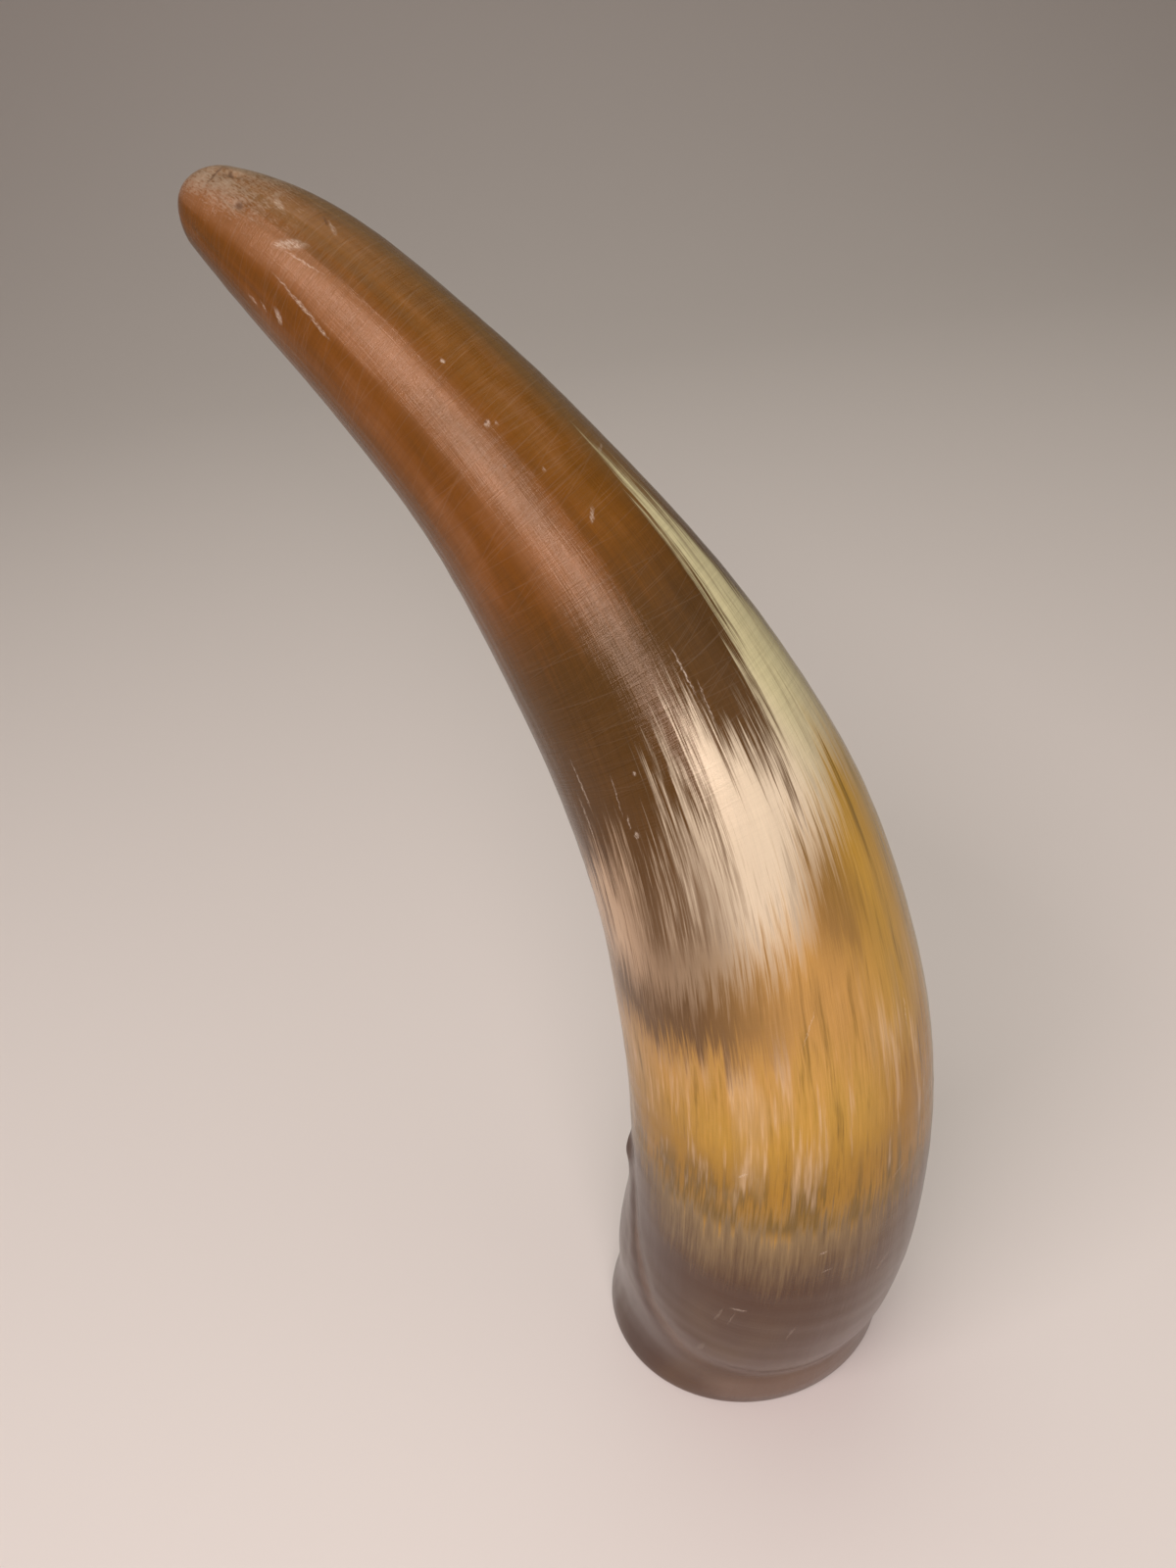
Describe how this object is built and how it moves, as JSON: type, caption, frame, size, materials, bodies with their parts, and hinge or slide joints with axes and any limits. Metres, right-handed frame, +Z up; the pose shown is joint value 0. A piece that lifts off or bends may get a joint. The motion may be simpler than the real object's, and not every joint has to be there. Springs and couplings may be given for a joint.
{
  "type": "buffalo horn",
  "caption": "Polished water buffalo horn standing on its sawn open base, curving up to a blunt rounded tip, with a hollow core cavity.",
  "frame": {"origin": "on the plane of the sawn base, under the centre of the horn's bounding box", "axes": "+Z up along the standing horn; the tip leans towards -X and +Y, and -Y is the horn's front"},
  "size_m": [0.148, 0.1158, 0.3368],
  "materials": {
    "keratin": "polished horn, amber brown at the tip, cream and honey in the middle, dark brown at the base"
  },
  "bodies": {
    "root": {"horn": "keratin"}
  },
  "joints": []
}
